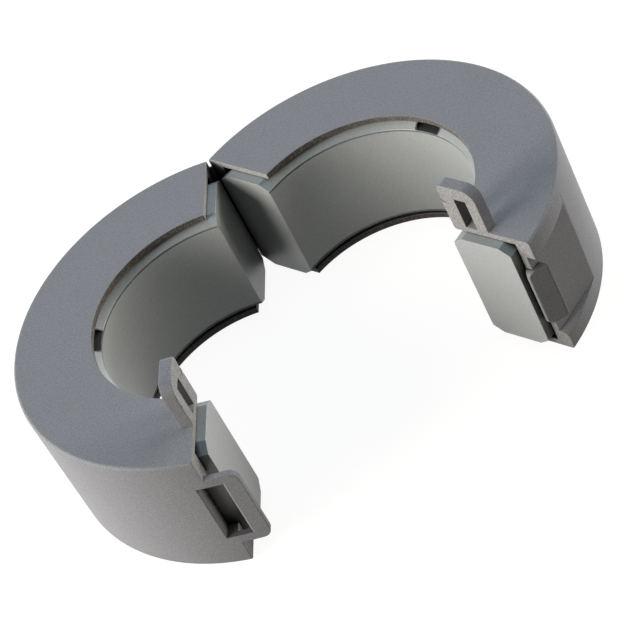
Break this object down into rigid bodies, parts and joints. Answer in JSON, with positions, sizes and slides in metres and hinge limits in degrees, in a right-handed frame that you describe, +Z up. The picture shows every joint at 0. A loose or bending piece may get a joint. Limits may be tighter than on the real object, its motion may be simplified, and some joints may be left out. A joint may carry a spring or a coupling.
{
  "type": "split ferrite bead with clip case",
  "caption": "Open round split ferrite clip for a cable: two hinged half-round cases, each holding a half-ring core, with a snap loop, barb and tie tabs.",
  "frame": {"origin": "middle of the open clip's footprint, on the plane it rests on", "axes": "+Z up along the two bore axes, +Y towards the hinge, +X from the loop half to the barb half"},
  "size_m": [0.084, 0.0584, 0.0287],
  "materials": {
    "case_plastic": "fine matte",
    "ferrite": "satin, as fired and ground"
  },
  "bodies": {
    "left_case": {"left_case_half": "case_plastic"},
    "right_case": {"right_case_half": "case_plastic"},
    "left_core": {"left_ferrite_core": "ferrite"},
    "right_core": {"right_ferrite_core": "ferrite"}
  },
  "joints": [
    {"name": "case_hinge", "type": "hinge", "parent": "left_case", "child": "right_case", "pos_m": [0, 0.02666, 0.0106], "axis": [0, 0, 1], "range_deg": [-52, 38]},
    {"name": "left_core_float", "type": "slide", "parent": "left_case", "child": "left_core", "axis": [-0.8988, 0.4384, 0], "range_m": [-0.00094, 0.00129]},
    {"name": "right_core_float", "type": "slide", "parent": "right_case", "child": "right_core", "axis": [0.8988, 0.4384, 0], "range_m": [-0.00094, 0.00129]}
  ],
  "couplings": [
    {"joint": "left_core_float", "follows": "case_hinge", "m_per_rad": -0.0014104},
    {"joint": "right_core_float", "follows": "case_hinge", "m_per_rad": -0.0014104}
  ]
}
